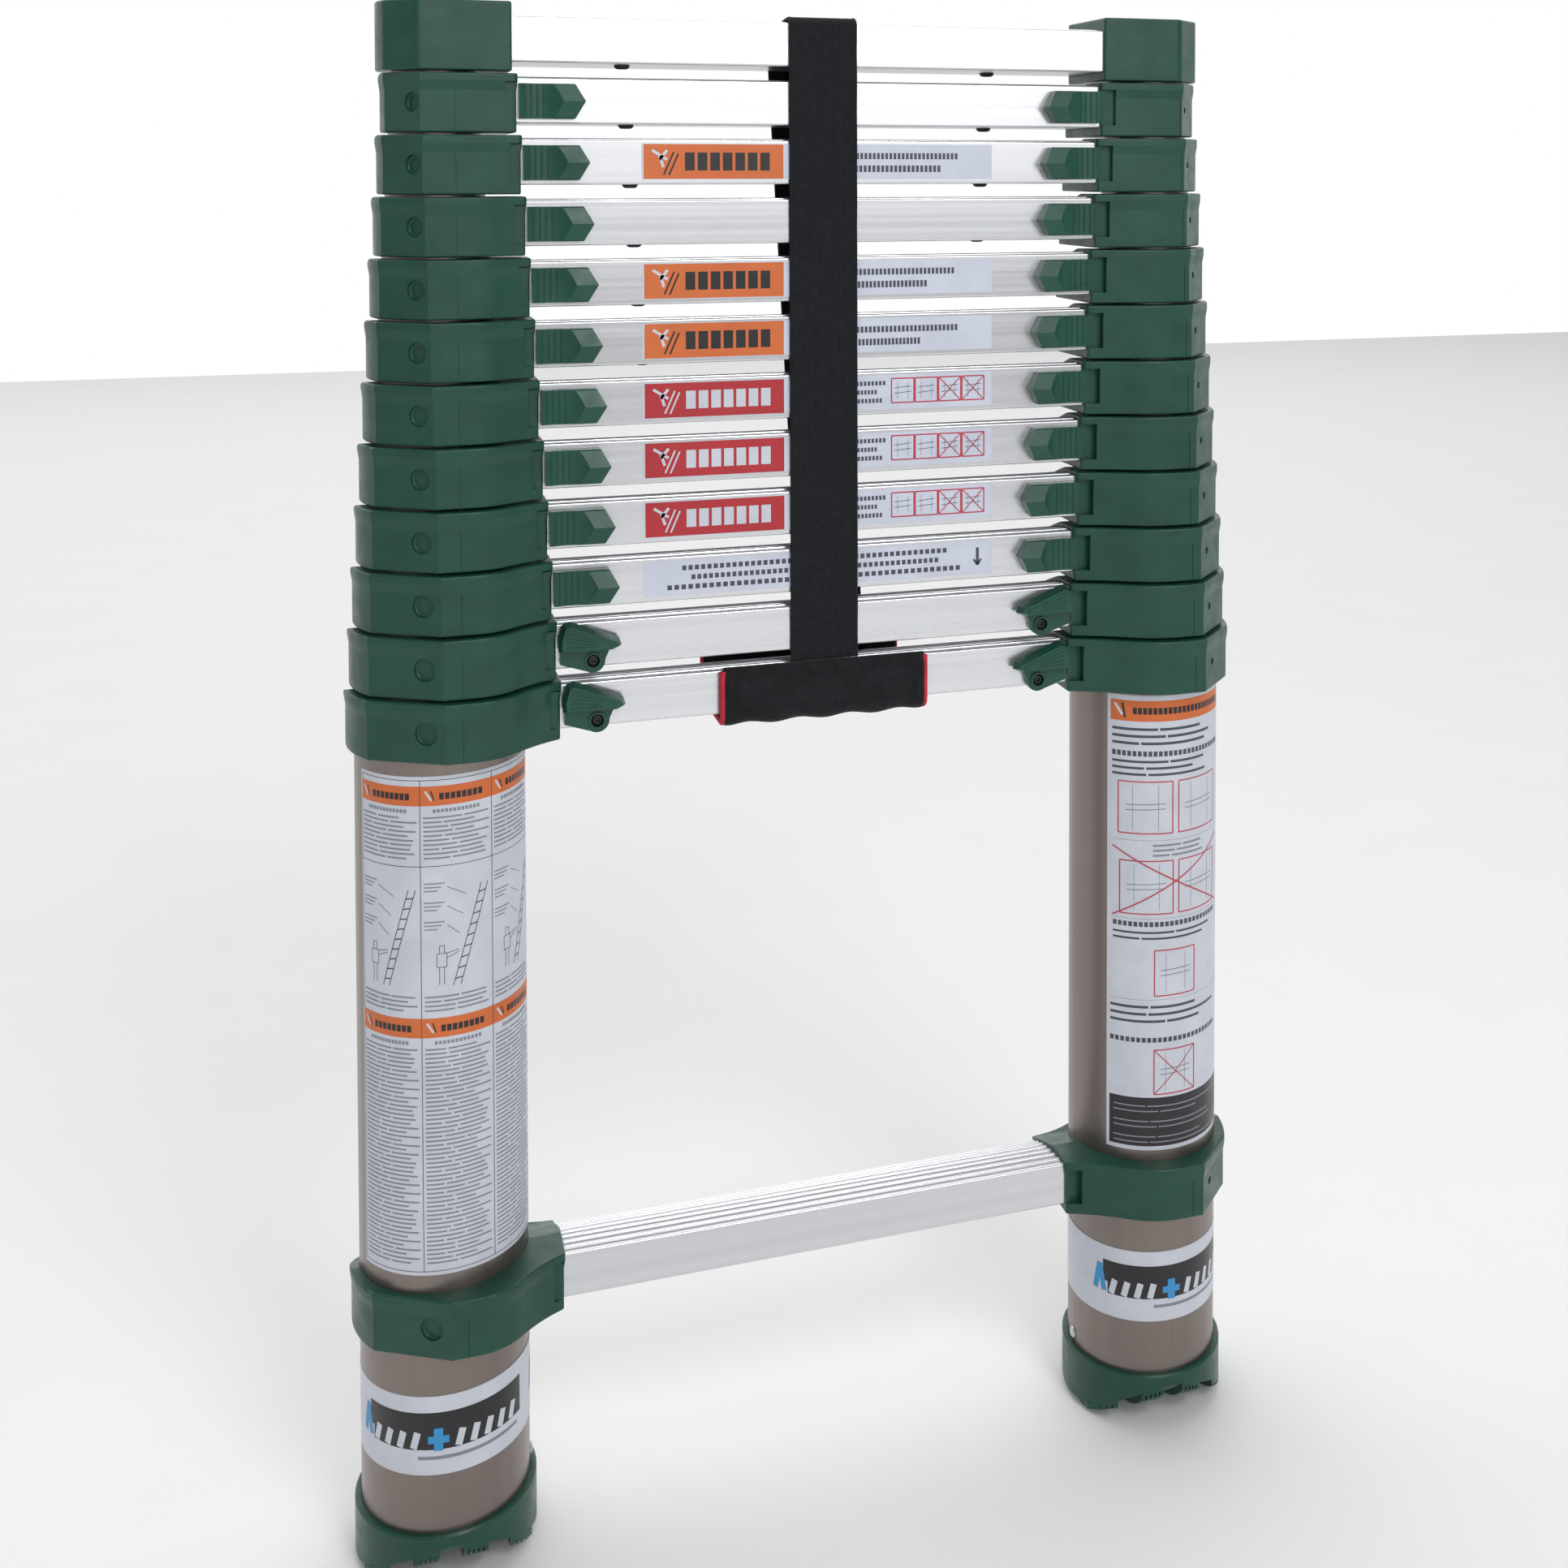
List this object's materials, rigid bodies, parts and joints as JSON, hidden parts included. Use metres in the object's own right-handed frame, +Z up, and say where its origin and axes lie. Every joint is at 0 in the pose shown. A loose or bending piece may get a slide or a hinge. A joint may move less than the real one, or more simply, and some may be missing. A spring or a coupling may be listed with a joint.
{
  "type": "telescoping ladder",
  "caption": "Straight telescoping ladder, closed: nested round stiles, flat stacked rungs with ribbed treads, moulded collars with thumb releases, rocker feet and a webbing carry strap.",
  "frame": {"origin": "on the floor, midway between the two feet", "axes": "+X along the rungs, to the right of a climber; +Y away from the climber, towards the wall; +Z up along the stiles"},
  "size_m": [0.5018, 0.1019, 0.816],
  "materials": {
    "tube": "satin champagne anodised",
    "rung": "satin extruded",
    "green_plastic": "moulded, fine texture",
    "neoprene": "stitched neoprene",
    "webbing": "woven webbing"
  },
  "bodies": {
    "base": {"outer_stiles": "tube", "fixed_rungs": "rung", "feet_and_lower_collars": "green_plastic", "carry_handle": "neoprene"},
    "section_3": {"stiles_3": "tube", "rung_3": "rung", "collars_3": "green_plastic"},
    "section_4": {"stiles_4": "tube", "rung_4": "rung", "collars_4": "green_plastic"},
    "section_5": {"stiles_5": "tube", "rung_5": "rung", "collars_5": "green_plastic"},
    "section_6": {"stiles_6": "tube", "rung_6": "rung", "collars_6": "green_plastic"},
    "section_7": {"stiles_7": "tube", "rung_7": "rung", "collars_7": "green_plastic"},
    "section_8": {"stiles_8": "tube", "rung_8": "rung", "collars_8": "green_plastic"},
    "section_9": {"stiles_9": "tube", "rung_9": "rung", "collars_9": "green_plastic"},
    "section_10": {"stiles_10": "tube", "rung_10": "rung", "collars_10": "green_plastic"},
    "section_11": {"stiles_11": "tube", "rung_11": "rung", "collars_11": "green_plastic"},
    "section_12": {"stiles_12": "tube", "rung_12": "rung", "collars_12": "green_plastic"},
    "section_13": {"stiles_13": "tube", "rung_13": "rung", "top_caps": "green_plastic"},
    "button_4_left": {"button_4_left": "green_plastic"},
    "button_4_right": {"button_4_right": "green_plastic"},
    "button_5_left": {"button_5_left": "green_plastic"},
    "button_5_right": {"button_5_right": "green_plastic"},
    "button_6_left": {"button_6_left": "green_plastic"},
    "button_6_right": {"button_6_right": "green_plastic"},
    "button_7_left": {"button_7_left": "green_plastic"},
    "button_7_right": {"button_7_right": "green_plastic"},
    "button_8_left": {"button_8_left": "green_plastic"},
    "button_8_right": {"button_8_right": "green_plastic"},
    "button_9_left": {"button_9_left": "green_plastic"},
    "button_9_right": {"button_9_right": "green_plastic"},
    "button_10_left": {"button_10_left": "green_plastic"},
    "button_10_right": {"button_10_right": "green_plastic"},
    "button_11_left": {"button_11_left": "green_plastic"},
    "button_11_right": {"button_11_right": "green_plastic"},
    "button_12_left": {"button_12_left": "green_plastic"},
    "button_12_right": {"button_12_right": "green_plastic"},
    "lever_2_left": {"lever_2_left": "green_plastic"},
    "lever_2_right": {"lever_2_right": "green_plastic"},
    "lever_3_left": {"lever_3_left": "green_plastic"},
    "lever_3_right": {"lever_3_right": "green_plastic"},
    "strap": {"carry_strap": "webbing"}
  },
  "joints": [
    {"name": "section_3_slide", "type": "slide", "parent": "base", "child": "section_3", "axis": [0, 0, 1], "range_m": [0, 0.27305]},
    {"name": "section_4_slide", "type": "slide", "parent": "section_3", "child": "section_4", "axis": [0, 0, 1], "range_m": [0, 0.27305]},
    {"name": "section_5_slide", "type": "slide", "parent": "section_4", "child": "section_5", "axis": [0, 0, 1], "range_m": [0, 0.27305]},
    {"name": "section_6_slide", "type": "slide", "parent": "section_5", "child": "section_6", "axis": [0, 0, 1], "range_m": [0, 0.27305]},
    {"name": "section_7_slide", "type": "slide", "parent": "section_6", "child": "section_7", "axis": [0, 0, 1], "range_m": [0, 0.27305]},
    {"name": "section_8_slide", "type": "slide", "parent": "section_7", "child": "section_8", "axis": [0, 0, 1], "range_m": [0, 0.27305]},
    {"name": "section_9_slide", "type": "slide", "parent": "section_8", "child": "section_9", "axis": [0, 0, 1], "range_m": [0, 0.27305]},
    {"name": "section_10_slide", "type": "slide", "parent": "section_9", "child": "section_10", "axis": [0, 0, 1], "range_m": [0, 0.27305]},
    {"name": "section_11_slide", "type": "slide", "parent": "section_10", "child": "section_11", "axis": [0, 0, 1], "range_m": [0, 0.27305]},
    {"name": "section_12_slide", "type": "slide", "parent": "section_11", "child": "section_12", "axis": [0, 0, 1], "range_m": [0, 0.27305]},
    {"name": "section_13_slide", "type": "slide", "parent": "section_12", "child": "section_13", "axis": [0, 0, 1], "range_m": [0, 0.27305]},
    {"name": "button_4_left_slide", "type": "slide", "parent": "section_4", "child": "button_4_left", "axis": [1, 0, 0], "range_m": [0, 0.008], "stiffness_N_per_m": 300, "springref_m": -0.01},
    {"name": "button_4_right_slide", "type": "slide", "parent": "section_4", "child": "button_4_right", "axis": [-1, 0, 0], "range_m": [0, 0.008], "stiffness_N_per_m": 300, "springref_m": -0.01},
    {"name": "button_5_left_slide", "type": "slide", "parent": "section_5", "child": "button_5_left", "axis": [1, 0, 0], "range_m": [0, 0.008], "stiffness_N_per_m": 300, "springref_m": -0.01},
    {"name": "button_5_right_slide", "type": "slide", "parent": "section_5", "child": "button_5_right", "axis": [-1, 0, 0], "range_m": [0, 0.008], "stiffness_N_per_m": 300, "springref_m": -0.01},
    {"name": "button_6_left_slide", "type": "slide", "parent": "section_6", "child": "button_6_left", "axis": [1, 0, 0], "range_m": [0, 0.008], "stiffness_N_per_m": 300, "springref_m": -0.01},
    {"name": "button_6_right_slide", "type": "slide", "parent": "section_6", "child": "button_6_right", "axis": [-1, 0, 0], "range_m": [0, 0.008], "stiffness_N_per_m": 300, "springref_m": -0.01},
    {"name": "button_7_left_slide", "type": "slide", "parent": "section_7", "child": "button_7_left", "axis": [1, 0, 0], "range_m": [0, 0.008], "stiffness_N_per_m": 300, "springref_m": -0.01},
    {"name": "button_7_right_slide", "type": "slide", "parent": "section_7", "child": "button_7_right", "axis": [-1, 0, 0], "range_m": [0, 0.008], "stiffness_N_per_m": 300, "springref_m": -0.01},
    {"name": "button_8_left_slide", "type": "slide", "parent": "section_8", "child": "button_8_left", "axis": [1, 0, 0], "range_m": [0, 0.008], "stiffness_N_per_m": 300, "springref_m": -0.01},
    {"name": "button_8_right_slide", "type": "slide", "parent": "section_8", "child": "button_8_right", "axis": [-1, 0, 0], "range_m": [0, 0.008], "stiffness_N_per_m": 300, "springref_m": -0.01},
    {"name": "button_9_left_slide", "type": "slide", "parent": "section_9", "child": "button_9_left", "axis": [1, 0, 0], "range_m": [0, 0.008], "stiffness_N_per_m": 300, "springref_m": -0.01},
    {"name": "button_9_right_slide", "type": "slide", "parent": "section_9", "child": "button_9_right", "axis": [-1, 0, 0], "range_m": [0, 0.008], "stiffness_N_per_m": 300, "springref_m": -0.01},
    {"name": "button_10_left_slide", "type": "slide", "parent": "section_10", "child": "button_10_left", "axis": [1, 0, 0], "range_m": [0, 0.008], "stiffness_N_per_m": 300, "springref_m": -0.01},
    {"name": "button_10_right_slide", "type": "slide", "parent": "section_10", "child": "button_10_right", "axis": [-1, 0, 0], "range_m": [0, 0.008], "stiffness_N_per_m": 300, "springref_m": -0.01},
    {"name": "button_11_left_slide", "type": "slide", "parent": "section_11", "child": "button_11_left", "axis": [1, 0, 0], "range_m": [0, 0.008], "stiffness_N_per_m": 300, "springref_m": -0.01},
    {"name": "button_11_right_slide", "type": "slide", "parent": "section_11", "child": "button_11_right", "axis": [-1, 0, 0], "range_m": [0, 0.008], "stiffness_N_per_m": 300, "springref_m": -0.01},
    {"name": "button_12_left_slide", "type": "slide", "parent": "section_12", "child": "button_12_left", "axis": [1, 0, 0], "range_m": [0, 0.008], "stiffness_N_per_m": 300, "springref_m": -0.01},
    {"name": "button_12_right_slide", "type": "slide", "parent": "section_12", "child": "button_12_right", "axis": [-1, 0, 0], "range_m": [0, 0.008], "stiffness_N_per_m": 300, "springref_m": -0.01},
    {"name": "lever_2_left_hinge", "type": "hinge", "parent": "base", "child": "lever_2_left", "pos_m": [-0.124, -0.028, 0.44], "axis": [0, 1, 0], "range_deg": [0, 28], "stiffness_Nm_per_rad": 0.05, "springref_deg": -17.19},
    {"name": "lever_2_right_hinge", "type": "hinge", "parent": "base", "child": "lever_2_right", "pos_m": [0.124, -0.028, 0.44], "axis": [0, -1, 0], "range_deg": [0, 28], "stiffness_Nm_per_rad": 0.05, "springref_deg": -17.19},
    {"name": "lever_3_left_hinge", "type": "hinge", "parent": "section_3", "child": "lever_3_left", "pos_m": [-0.126, -0.028, 0.47175], "axis": [0, 1, 0], "range_deg": [0, 28], "stiffness_Nm_per_rad": 0.05, "springref_deg": -17.19},
    {"name": "lever_3_right_hinge", "type": "hinge", "parent": "section_3", "child": "lever_3_right", "pos_m": [0.126, -0.028, 0.47175], "axis": [0, -1, 0], "range_deg": [0, 28], "stiffness_Nm_per_rad": 0.05, "springref_deg": -17.19},
    {"name": "strap_lift", "type": "slide", "parent": "section_13", "child": "strap", "axis": [0, 0, 1], "range_m": [0, 0.4]}
  ]
}
